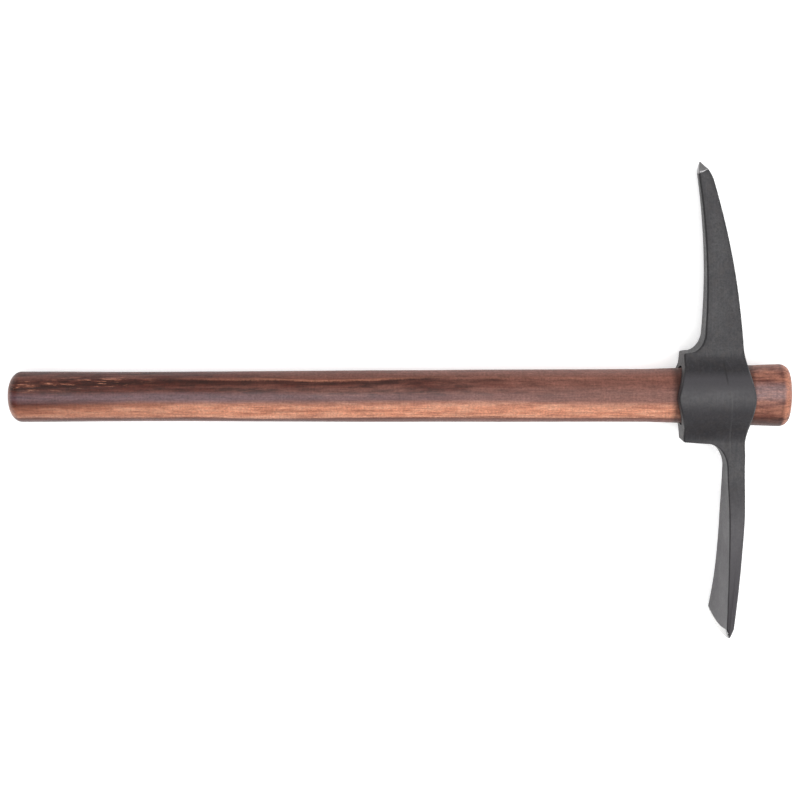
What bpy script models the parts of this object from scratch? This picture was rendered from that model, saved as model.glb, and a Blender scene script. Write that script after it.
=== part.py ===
"""One-hand pick mattock: a one-piece forged head that drops on to an oval wooden handle.

The handle lies along +X, from the middle of its grip end at the origin to its crown end.
The pick points along +Y, the adze along -Y, and the tool lies flat, with +Z up.
All sizes are in metres.
"""
import math

import bmesh
import bpy

# Handle: half heights are measured along Y. Its section is the same oval all along.
HANDLE_LENGTH = 0.450
GRIP_HALF_HEIGHT = 0.01475
WAIST_X = 0.078
WAIST_HALF_HEIGHT = 0.0145
SHAFT_X = 0.250
SHAFT_HALF_HEIGHT = 0.0152
SHAFT_HALF_WIDTH = 0.01216
HANDLE_FLATNESS = SHAFT_HALF_WIDTH / SHAFT_HALF_HEIGHT
CROWN_TAPER_LENGTH = 0.082
NECK_X = HANDLE_LENGTH - CROWN_TAPER_LENGTH
NECK_HALF_HEIGHT = 0.01545
CROWN_HALF_HEIGHT = 0.01815
GRIP_END_ROUNDING = 0.0075
GRIP_END_FLAT = 0.0030
CROWN_END_ROUNDING = 0.0056
CROWN_END_FLAT = 0.0135

# Head: its own x = 0 is the middle of the eye, at this distance from the crown end.
CROWN_PAST_EYE = 0.0415
EYE_X = HANDLE_LENGTH - CROWN_PAST_EYE
EYE_INNER_X = -0.0204
EYE_OUTER_X_AT_PICK = 0.0136
EYE_OUTER_X_AT_ADZE = 0.0160
EYE_NECK_HALF_WIDTH = 0.0098
EYE_CORNER = 0.0012
BOSS_HALF_WIDTH = 0.0197
BOSS_HALF_HEIGHT = 0.0212
BOSS_FILLET = 0.0016
INNER_LUG_LENGTH = 0.0042
INNER_LUG_HALF_HEIGHT = 0.0178
OUTER_LUG_LENGTH = 0.0050
OUTER_LUG_HALF_HEIGHT = 0.0276
LUG_ROUNDING = 0.0026
FACE_TRANSITION = 0.0040
WIDTH_TRANSITION = 0.0058

# The hole clears the wood by the seat gap on the crown side, and opens less than the wood
# tapers, so that the wood is free on the grip side.
SEAT_GAP = 0.0003
MOUTH_GAP = 0.0011
HOLE_CUT_PAST = 0.012

# Shoulders of the eye on the grip side, and the curves from them into pick and adze.
UPPER_SHOULDER_Y = 0.0256
UPPER_SHOULDER_X = -0.0172
UPPER_FILLET_HEIGHT = 0.0115
LOWER_SHOULDER_Y = -0.02645
LOWER_SHOULDER_X = -0.0060
LOWER_FILLET_HEIGHT = 0.0150
UPPER_SHOULDER_FALL = 0.00025
LOWER_SHOULDER_FALL = 0.0010
LOWER_SETBACK = 0.0008
SHOULDER_ROUNDING = 0.0012

# Pick, from its root above the eye to its four-sided point.
PICK_REACH = 0.1335
PICK_ROOT_Y = 0.0282
PICK_OFFSET = 0.0026
PICK_SWEEP = 0.0137
PICK_ROOT_DEPTH = 0.0228
PICK_END_DEPTH = 0.0070
PICK_ROOT_HALF_WIDTH = 0.0090
PICK_END_HALF_WIDTH = 0.0034
PICK_CORNER = 0.0014
PICK_NOSE_LENGTH = 0.0075
PICK_NOSE_DROP = 0.0014
POINT_LENGTH = 0.0049
POINT_SKEW = 0.0027
TIP_DEPTH = 0.0008
TIP_HALF_WIDTH = 0.0005
TIP_SHIFT = 0.0010

# Adze, from its neck below the eye to the cutting edge, with a bevel ground on its inner face.
ADZE_REACH = 0.1392
ADZE_ROOT_Y = -0.0300
ADZE_BEND_Y = -0.0550
ADZE_OFFSET = 0.0113
ADZE_SWEEP = 0.0060
ADZE_ROOT_THICKNESS = 0.0106
ADZE_END_THICKNESS = 0.0043
ADZE_TAPER_CURVE = 1.5
ADZE_NECK_HALF_WIDTH = 0.0077
ADZE_FLARE_START_Y = -0.0370
ADZE_FLARE_END_Y = -0.0740
ADZE_QUICK_FLARE = 0.0060
ADZE_EDGE_HALF_WIDTH = 0.0292
ADZE_FLARE_CURVE = 2.2
ADZE_CORNER = 0.0010
SIDE_RIDGE = 0.0007
SIDE_RIDGE_ENTRY = 0.026
BEVEL_LENGTH = 0.0049
EDGE_THICKNESS = 0.0006
EDGE_ARC = 0.0030
EDGE_CORNER_ROUNDING = 0.0015

# How finely the shapes are divided.
HANDLE_PROFILE_STEP = 0.018
HANDLE_SEGMENTS = 52
END_ROUNDING_STEPS = 6
PICK_RINGS = 12
FILLET_RINGS = 7
ROUNDING_RINGS = 2
EYE_RINGS = 24
ADZE_RINGS = 16
FACE_POINTS = 10
CORNER_STEPS = 2
TRANSITION_STEPS = 4
CORNER_LARGEST_SHARE = 0.8
HOLE_SEGMENTS = 64
SHARP_ANGLE = math.radians(32)
MERGE_DISTANCE = 0.00001

STEEL_COLOUR = (0.075, 0.075, 0.080, 1.0)
STEEL_ROUGHNESS = 0.42
STEEL_METALLIC = 0.65
WOOD_COLOUR = (0.145, 0.042, 0.026, 1.0)
WOOD_ROUGHNESS = 0.48
WOOD_METALLIC = 0.0


def between(start, end, share):
    """A value on the straight way from start to end."""
    return start + (end - start) * share


def blend(start, end, share):
    """A value between start and end that leaves and arrives level."""
    share = min(max(share, 0.0), 1.0)
    return between(start, end, share * share * (3.0 - 2.0 * share))


def rounded_larger(first, second, fillet):
    """The larger of two lengths, with the place where they cross rounded."""
    return 0.5 * (first + second + math.hypot(first - second, 2.0 * fillet))


# Handle

def handle_half_height(x):
    """Half the handle's height along Y, apart from its rounded ends."""
    if x <= WAIST_X:
        return blend(GRIP_HALF_HEIGHT, WAIST_HALF_HEIGHT, x / WAIST_X)
    if x <= SHAFT_X:
        return blend(WAIST_HALF_HEIGHT, SHAFT_HALF_HEIGHT, (x - WAIST_X) / (SHAFT_X - WAIST_X))
    if x <= NECK_X:
        return between(SHAFT_HALF_HEIGHT, NECK_HALF_HEIGHT, (x - SHAFT_X) / (NECK_X - SHAFT_X))
    taper_end = HANDLE_LENGTH - CROWN_END_ROUNDING
    return between(NECK_HALF_HEIGHT, CROWN_HALF_HEIGHT, (x - NECK_X) / (taper_end - NECK_X))


def handle_profile():
    """Points of the handle's outline (distance from the grip end, half height), crown end first."""
    points = [(HANDLE_LENGTH, 0.0)]
    crown_start = HANDLE_LENGTH - CROWN_END_ROUNDING
    for step in range(END_ROUNDING_STEPS + 1):
        angle = 0.5 * math.pi * step / END_ROUNDING_STEPS
        x = crown_start + CROWN_END_ROUNDING * math.cos(angle)
        points.append((x, between(CROWN_END_FLAT, CROWN_HALF_HEIGHT, math.sin(angle))))
    count = round((crown_start - GRIP_END_ROUNDING) / HANDLE_PROFILE_STEP)
    for step in range(1, count):
        x = between(crown_start, GRIP_END_ROUNDING, step / count)
        points.append((x, handle_half_height(x)))
    grip_height = handle_half_height(GRIP_END_ROUNDING)
    for step in range(END_ROUNDING_STEPS + 1):
        angle = 0.5 * math.pi * step / END_ROUNDING_STEPS
        x = GRIP_END_ROUNDING * (1.0 - math.sin(angle))
        points.append((x, between(GRIP_END_FLAT, grip_height, math.cos(angle))))
    points.append((0.0, 0.0))
    return points


def make_handle(collection):
    """The handle, turned from its outline and flattened to an oval."""
    mesh = bpy.data.meshes.new("handle")
    points = [(half_height, 0.0, x) for x, half_height in handle_profile()]
    edges = [(index, index + 1) for index in range(len(points) - 1)]
    mesh.from_pydata(points, edges, [])
    handle = bpy.data.objects.new("handle", mesh)
    collection.objects.link(handle)
    handle.rotation_euler = (0.5 * math.pi, 0.0, 0.5 * math.pi)
    handle.scale = (1.0, HANDLE_FLATNESS, 1.0)
    screw = handle.modifiers.new("turned", "SCREW")
    screw.axis = "Z"
    screw.angle = 2.0 * math.pi
    screw.steps = HANDLE_SEGMENTS
    screw.render_steps = HANDLE_SEGMENTS
    screw.use_merge_vertices = True
    screw.merge_threshold = MERGE_DISTANCE
    screw.use_smooth_shade = True
    wood = make_material("stained_wood", WOOD_COLOUR, WOOD_ROUGHNESS, WOOD_METALLIC)
    handle.data.materials.append(wood)
    return handle


# Head: the outlines of its inner face (grip side), outer face and half width at each height y

def pick_centre(y):
    share = max(y - PICK_ROOT_Y, 0.0) / (PICK_REACH - PICK_ROOT_Y)
    return PICK_OFFSET - PICK_SWEEP * share * share


def pick_share(y):
    return (y - PICK_ROOT_Y) / (PICK_REACH - POINT_LENGTH - PICK_ROOT_Y)


def pick_faces(y):
    """The pick's faces, the outer one drawn in towards the point."""
    half = 0.5 * between(PICK_ROOT_DEPTH, PICK_END_DEPTH, pick_share(y))
    nose = max(0.0, 1.0 - (PICK_REACH - POINT_LENGTH - y) / PICK_NOSE_LENGTH)
    return pick_centre(y) - half, pick_centre(y) + half - PICK_NOSE_DROP * nose * nose


def pick_half_width(y):
    return between(PICK_ROOT_HALF_WIDTH, PICK_END_HALF_WIDTH, pick_share(y))


def lug(y, length, half_height):
    """How far a pointed lug, with its point rounded, stands out at a height."""
    fall = math.hypot(y, LUG_ROUNDING) - LUG_ROUNDING
    full_fall = math.hypot(half_height, LUG_ROUNDING) - LUG_ROUNDING
    return length * max(0.0, 1.0 - fall / full_fall)


def eye_faces(y):
    share = (PICK_ROOT_Y - y) / (PICK_ROOT_Y - ADZE_ROOT_Y)
    outer = between(EYE_OUTER_X_AT_PICK, EYE_OUTER_X_AT_ADZE, share)
    outer += lug(y, OUTER_LUG_LENGTH, OUTER_LUG_HALF_HEIGHT)
    inner = EYE_INNER_X - lug(y, INNER_LUG_LENGTH, INNER_LUG_HALF_HEIGHT)
    return inner + LOWER_SETBACK * max(0.0, y / LOWER_SHOULDER_Y), outer


def eye_half_width(y):
    """The neck, and over the hole the round boss that the two cheeks form."""
    share = min(abs(y) / BOSS_HALF_HEIGHT, 1.0)
    boss = BOSS_HALF_WIDTH * math.sqrt(1.0 - share * share)
    if y > 0.0:
        neck = blend(EYE_NECK_HALF_WIDTH, pick_half_width(PICK_ROOT_Y), y / PICK_ROOT_Y)
    else:
        neck = blend(EYE_NECK_HALF_WIDTH, ADZE_NECK_HALF_WIDTH, y / ADZE_ROOT_Y)
    return rounded_larger(neck, boss, BOSS_FILLET)


def adze_centre(y):
    share = max(ADZE_BEND_Y - y, 0.0) / (ADZE_REACH + ADZE_BEND_Y)
    return ADZE_OFFSET - ADZE_SWEEP * share * share


def adze_faces(y):
    share = max(ADZE_ROOT_Y - y, 0.0) / (ADZE_REACH - BEVEL_LENGTH + ADZE_ROOT_Y)
    half = 0.5 * between(ADZE_ROOT_THICKNESS, ADZE_END_THICKNESS, share ** ADZE_TAPER_CURVE)
    return adze_centre(y) - half, adze_centre(y) + half


def adze_half_width(y):
    """The neck under the eye, a quick flare, and an even flare to the cutting edge."""
    share = max(0.0, ADZE_FLARE_START_Y - y) / (ADZE_REACH + ADZE_FLARE_START_Y)
    end = ADZE_EDGE_HALF_WIDTH - ADZE_QUICK_FLARE
    even = between(ADZE_NECK_HALF_WIDTH, end, share ** ADZE_FLARE_CURVE)
    entry = (ADZE_FLARE_START_Y - y) / (ADZE_FLARE_START_Y - ADZE_FLARE_END_Y)
    return even + blend(0.0, ADZE_QUICK_FLARE, entry)


def sharp_outer_face(y):
    if y > PICK_ROOT_Y:
        return pick_faces(y)[1]
    if y > ADZE_ROOT_Y:
        return eye_faces(y)[1]
    return adze_faces(y)[1]


def sharp_half_width(y):
    if y > PICK_ROOT_Y:
        return pick_half_width(y)
    if y > ADZE_ROOT_Y:
        return eye_half_width(y)
    return adze_half_width(y)


def softened(measure, y, transition):
    """A measure of the outline, averaged over a transition above and below y near the eye."""
    reach = transition * near_eye(y, transition)
    shares = [step / TRANSITION_STEPS for step in range(-TRANSITION_STEPS, TRANSITION_STEPS + 1)]
    return sum(measure(y + reach * share) for share in shares) / len(shares)


def outer_face(y):
    """The crown side of pick, eye and adze, running softly into one another."""
    return softened(sharp_outer_face, y, FACE_TRANSITION)


def half_width(y):
    """Half the width of pick, eye and adze, running softly into one another."""
    return softened(sharp_half_width, y, WIDTH_TRANSITION)


def near_eye(y, transition):
    """1 at the eye, falling to 0 on the pick and on the adze, whose own curves stay."""
    past = max(y - PICK_ROOT_Y, ADZE_ROOT_Y - y)
    return blend(1.0, 0.0, past / transition - 1.0)


# Head: its rings, each a dictionary of a height, two faces, a half width and what bends it

def ring_at(y, inner, outer, width, corner, lean=0.0, arc=0.0, ridge=0.0):
    return {"y": y, "inner": inner, "outer": outer, "width": width,
            "corner": corner, "lean": lean, "arc": arc, "ridge": ridge}


def pick_rings():
    """The point and the pick, down to the curve above the shoulder."""
    tip = pick_centre(PICK_REACH) - TIP_SHIFT
    rings = [ring_at(PICK_REACH, tip - 0.5 * TIP_DEPTH, tip + 0.5 * TIP_DEPTH,
                     TIP_HALF_WIDTH, 0.5 * TIP_HALF_WIDTH)]
    top = PICK_REACH - POINT_LENGTH
    bottom = UPPER_SHOULDER_Y + UPPER_FILLET_HEIGHT
    for step in range(PICK_RINGS):
        y = between(top, bottom, step / PICK_RINGS)
        inner = pick_faces(y)[0]
        lean = POINT_SKEW / PICK_END_DEPTH * (1.0 - step / PICK_RINGS)
        corner = min(PICK_CORNER, 0.5 * pick_half_width(y))
        rings.append(ring_at(y, inner, outer_face(y), half_width(y), corner, lean=lean))
    return rings


def upper_shoulder_rings():
    """The curve from the pick's inner face out along the shoulder, and round its corner."""
    top = UPPER_SHOULDER_Y + UPPER_FILLET_HEIGHT
    reach = pick_faces(top)[0] - UPPER_SHOULDER_X
    rings = []
    for step in range(FILLET_RINGS + 1):
        angle = 0.5 * math.pi * (1.0 - step / FILLET_RINGS)
        y = top - UPPER_FILLET_HEIGHT * math.cos(angle)
        inner = UPPER_SHOULDER_X + reach * math.sin(angle)
        corner = between(EYE_CORNER, PICK_CORNER, math.sin(angle))
        rings.append(ring_at(y, inner, outer_face(y), half_width(y), corner))
    start = UPPER_SHOULDER_Y - UPPER_SHOULDER_FALL
    for step in range(ROUNDING_RINGS + 1):
        angle = 0.5 * math.pi * step / ROUNDING_RINGS
        y = start - SHOULDER_ROUNDING * (1.0 - math.cos(angle))
        inner = EYE_INNER_X + SHOULDER_ROUNDING * (1.0 - math.sin(angle))
        rings.append(ring_at(y, inner, outer_face(y), half_width(y), EYE_CORNER))
    return rings


def eye_rings():
    top = UPPER_SHOULDER_Y - UPPER_SHOULDER_FALL - SHOULDER_ROUNDING
    bottom = LOWER_SHOULDER_Y + SHOULDER_ROUNDING
    rings = []
    for step in range(1, EYE_RINGS):
        y = between(top, bottom, step / EYE_RINGS)
        rings.append(ring_at(y, eye_faces(y)[0], outer_face(y), half_width(y), EYE_CORNER))
    return rings


def lower_shoulder_rings():
    """Round the lower shoulder's corner, along it, and down the curve into the adze."""
    rings = []
    for step in range(ROUNDING_RINGS + 1):
        angle = 0.5 * math.pi * step / ROUNDING_RINGS
        y = LOWER_SHOULDER_Y + SHOULDER_ROUNDING * (1.0 - math.sin(angle))
        inner = eye_faces(y)[0] + SHOULDER_ROUNDING * (1.0 - math.cos(angle))
        rings.append(ring_at(y, inner, outer_face(y), half_width(y), EYE_CORNER))
    bottom = LOWER_SHOULDER_Y - LOWER_SHOULDER_FALL - LOWER_FILLET_HEIGHT
    reach = adze_faces(bottom)[0] - LOWER_SHOULDER_X
    for step in range(FILLET_RINGS + 1):
        angle = 0.5 * math.pi * step / FILLET_RINGS
        y = bottom + LOWER_FILLET_HEIGHT * math.cos(angle)
        inner = LOWER_SHOULDER_X + reach * math.sin(angle)
        rings.append(ring_at(y, inner, outer_face(y), half_width(y), EYE_CORNER))
    return rings


def adze_rings():
    """The blade down to its ground bevel, and the cutting edge."""
    top = LOWER_SHOULDER_Y - LOWER_SHOULDER_FALL - LOWER_FILLET_HEIGHT
    bottom = BEVEL_LENGTH - ADZE_REACH
    rings = []
    for step in range(1, ADZE_RINGS + 1):
        y = between(top, bottom, step / ADZE_RINGS)
        inner = adze_faces(y)[0]
        spread = max(0.0, (ADZE_FLARE_END_Y - y) / (ADZE_FLARE_END_Y - bottom))
        ridge = SIDE_RIDGE * min(1.0, max(0.0, ADZE_FLARE_END_Y - y) / SIDE_RIDGE_ENTRY)
        rings.append(ring_at(y, inner, outer_face(y), half_width(y), ADZE_CORNER,
                             arc=spread ** 2, ridge=ridge))
    edge = adze_centre(-ADZE_REACH)
    rings.append(ring_at(-ADZE_REACH, edge - 0.5 * EDGE_THICKNESS, edge + 0.5 * EDGE_THICKNESS,
                         ADZE_EDGE_HALF_WIDTH, 0.5 * EDGE_THICKNESS, arc=1.0))
    return rings


def edge_rise(z, width):
    """How far the cutting edge rises from its lowest point: a flat arc with rounded corners."""
    rise = EDGE_ARC * (z / width) ** 2
    into_corner = (abs(z) - (width - EDGE_CORNER_ROUNDING)) / EDGE_CORNER_ROUNDING
    if into_corner > 0.0:
        rise += EDGE_CORNER_ROUNDING * (1.0 - math.sqrt(max(0.0, 1.0 - into_corner ** 2)))
    return rise


def ring_points(ring):
    """A rounded rectangle across the head, from the middle of its near side and round."""
    middle = 0.5 * (ring["inner"] + ring["outer"])
    half_depth = 0.5 * (ring["outer"] - ring["inner"])
    width = ring["width"]
    corner = min(ring["corner"], CORNER_LARGEST_SHARE * half_depth)
    flat = half_depth - corner
    half = [(0.5 * flat, width + 0.5 * ring["ridge"])]
    for step in range(CORNER_STEPS + 1):
        angle = 0.5 * math.pi * step / CORNER_STEPS
        half.append((flat + corner * math.sin(angle), width - corner * (1.0 - math.cos(angle))))
    for step in range(1, FACE_POINTS):
        half.append((half_depth, (width - corner) * math.cos(math.pi * step / FACE_POINTS)))
    half += [(x, -z) for x, z in reversed(half[:CORNER_STEPS + 2])]
    outline = [(0.0, width + ring["ridge"])] + half + [(0.0, -width - ring["ridge"])]
    outline += [(-x, z) for x, z in reversed(half)]
    points = []
    for x, z in outline:
        y = ring["y"] + ring["lean"] * x + ring["arc"] * edge_rise(z, width + ring["ridge"])
        points.append((middle + x, y, z))
    return points


def head_mesh():
    """The head without its hole: a loft through its rings, closed at the tip and at the edge."""
    rings = (pick_rings() + upper_shoulder_rings() + eye_rings()
             + lower_shoulder_rings() + adze_rings())
    mesh = bmesh.new()
    loops = [[mesh.verts.new(point) for point in ring_points(ring)] for ring in rings]
    count = len(loops[0])
    for upper, lower in zip(loops, loops[1:]):
        for index in range(count):
            after = (index + 1) % count
            mesh.faces.new((upper[index], upper[after], lower[after], lower[index]))
    middle = count // 2
    reach = CORNER_STEPS + 1
    for loop in (loops[0], loops[-1]):
        mesh.faces.new([loop[index] for index in range(-reach, reach + 1)])
        mesh.faces.new([loop[middle + index] for index in range(-reach, reach + 1)])
        for index in range(reach, middle - reach):
            mesh.faces.new((loop[index], loop[index + 1], loop[-index - 1], loop[-index]))
    bmesh.ops.recalc_face_normals(mesh, faces=mesh.faces)
    result = bpy.data.meshes.new("head")
    mesh.to_mesh(result)
    mesh.free()
    result.shade_smooth()
    result.set_sharp_from_angle(angle=SHARP_ANGLE)
    return result


def make_hole_cutter(collection):
    """The eye's oval, tapered hole: larger than the wood by the mouth gap and the seat gap."""
    mouth_x = EYE_INNER_X
    seat_x = eye_faces(0.0)[1]
    mouth = handle_half_height(EYE_X + mouth_x) + MOUTH_GAP
    seat = handle_half_height(EYE_X + seat_x) + SEAT_GAP / HANDLE_FLATNESS
    slope = (seat - mouth) / (seat_x - mouth_x)
    start_x = EYE_INNER_X - INNER_LUG_LENGTH - HOLE_CUT_PAST
    end_x = seat_x + HOLE_CUT_PAST
    mesh = bmesh.new()
    bmesh.ops.create_cone(mesh, cap_ends=True, segments=HOLE_SEGMENTS, depth=end_x - start_x,
                          radius1=mouth + slope * (start_x - mouth_x),
                          radius2=mouth + slope * (end_x - mouth_x))
    data = bpy.data.meshes.new("eye_hole")
    mesh.to_mesh(data)
    mesh.free()
    cutter = bpy.data.objects.new("eye_hole", data)
    collection.objects.link(cutter)
    cutter.location = (EYE_X + 0.5 * (start_x + end_x), 0.0, 0.0)
    cutter.rotation_euler = (0.5 * math.pi, 0.0, 0.5 * math.pi)
    cutter.scale = (1.0, HANDLE_FLATNESS, 1.0)
    cutter.display_type = "WIRE"
    cutter.hide_render = True
    return cutter


def make_head(collection, cutter):
    """The forged head, with its origin on the handle's axis, along which it slides."""
    head = bpy.data.objects.new("head", head_mesh())
    collection.objects.link(head)
    head.location = (EYE_X, 0.0, 0.0)
    hole = head.modifiers.new("eye_hole", "BOOLEAN")
    hole.operation = "DIFFERENCE"
    hole.solver = "EXACT"
    hole.object = cutter
    steel = make_material("painted_steel", STEEL_COLOUR, STEEL_ROUGHNESS, STEEL_METALLIC)
    head.data.materials.append(steel)
    return head


def make_material(name, colour, roughness, metallic):
    material = bpy.data.materials.new(name)
    material.use_nodes = True
    shader = material.node_tree.nodes["Principled BSDF"]
    shader.inputs["Base Color"].default_value = colour
    shader.inputs["Roughness"].default_value = roughness
    shader.inputs["Metallic"].default_value = metallic
    return material


def main():
    for item in list(bpy.data.objects):
        bpy.data.objects.remove(item, do_unlink=True)
    parts = bpy.data.collections.new("mattock")
    cutters = bpy.data.collections.new("cutters")
    bpy.context.scene.collection.children.link(parts)
    bpy.context.scene.collection.children.link(cutters)
    make_handle(parts)
    make_head(parts, make_hole_cutter(cutters))


main()
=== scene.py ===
"""One-hand pick mattock: a forged head in charcoal paint on a stained wooden handle.

The handle lies along +X, from the middle of its grip end at the origin to its crown end.
The pick points along +Y and the adze along -Y. All sizes are in metres.
"""
import math
from collections import namedtuple
from functools import reduce

import bmesh
import bpy
from bpy.props import FloatProperty, FloatVectorProperty, IntProperty, PointerProperty
from mathutils import Matrix, Vector, noise


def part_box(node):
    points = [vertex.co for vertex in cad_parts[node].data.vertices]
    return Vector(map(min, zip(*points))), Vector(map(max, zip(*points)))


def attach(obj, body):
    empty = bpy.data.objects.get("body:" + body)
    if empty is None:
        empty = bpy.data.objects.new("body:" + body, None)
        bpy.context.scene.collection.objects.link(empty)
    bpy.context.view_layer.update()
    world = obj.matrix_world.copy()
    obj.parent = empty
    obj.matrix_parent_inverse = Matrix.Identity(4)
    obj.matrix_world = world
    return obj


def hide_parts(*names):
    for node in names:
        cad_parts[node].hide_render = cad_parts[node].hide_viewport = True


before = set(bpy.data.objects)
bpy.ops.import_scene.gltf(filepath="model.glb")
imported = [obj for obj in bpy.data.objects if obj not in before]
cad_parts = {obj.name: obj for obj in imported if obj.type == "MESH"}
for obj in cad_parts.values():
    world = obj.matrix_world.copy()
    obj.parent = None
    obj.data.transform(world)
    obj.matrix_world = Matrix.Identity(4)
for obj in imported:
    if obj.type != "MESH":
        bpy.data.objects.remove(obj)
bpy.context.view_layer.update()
HANDLE_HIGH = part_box("handle")[1]
HEAD_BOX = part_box("head")

bl_info = {
    "name": "One-hand pick mattock",
    "version": (1, 0, 0),
    "blender": (4, 5, 0),
    "location": "View3D > Sidebar > Mattock",
    "description": "Makes the forged head, the wooden handle and a plain studio for them",
    "category": "Object",
}


def length(name, description, default):
    """A size in metres."""
    return FloatProperty(name=name, description=description, default=default,
                         precision=5, unit="LENGTH", subtype="DISTANCE")


def turn(name, description, default):
    """An angle in radians."""
    return FloatProperty(name=name, description=description, default=default, subtype="ANGLE")


def share(name, description, default):
    """A plain factor."""
    return FloatProperty(name=name, description=description, default=default, precision=3)


def colour(name, description, default):
    """A colour without alpha."""
    return FloatVectorProperty(name=name, description=description, default=default,
                               size=3, min=0.0, max=1.0, subtype="COLOR")


class HandleSizes(bpy.types.PropertyGroup):
    """The wooden handle: half heights along Y, an oval section of one flatness."""
    total: length("Length", "From the grip end to the crown end", HANDLE_HIGH[0])
    grip_half_height: length("Grip half height", "At the grip end", 0.01475)
    waist_x: length("Waist place", "Distance of the slimmest place from the grip end", 0.078)
    waist_half_height: length("Waist half height", "At the slimmest place", 0.0145)
    shaft_x: length("Shaft place", "Where the even shaft begins", 0.250)
    shaft_half_height: length("Shaft half height", "Of the even shaft", 0.0152)
    shaft_half_width: length("Shaft half width", "Of the even shaft, along Z", 0.01216)
    taper_length: length("Taper length", "Length of the taper that jams in the eye", 0.082)
    neck_half_height: length("Neck half height", "Where the taper begins", 0.01545)
    crown_half_height: length("Crown half height", "Where the taper ends", 0.01815)
    grip_rounding: length("Grip end rounding", "Length of the rounded grip end", 0.0075)
    grip_flat: length("Grip end flat", "Half height of the flat on the grip end", 0.0030)
    crown_rounding: length("Crown end rounding", "Length of the rounded crown end", 0.0056)
    crown_flat: length("Crown end flat", "Half height of the flat on the crown end", 0.0135)
    unevenness: length("Unevenness", "How far the sanded wood strays from true", 0.00012)
    grain_relief: length("Grain relief", "Depth of the raised grain", 0.00005)
    stations: IntProperty(name="Stations", description="Rings along the handle", default=420)
    sides: IntProperty(name="Sides", description="Points round the handle", default=144)


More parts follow.
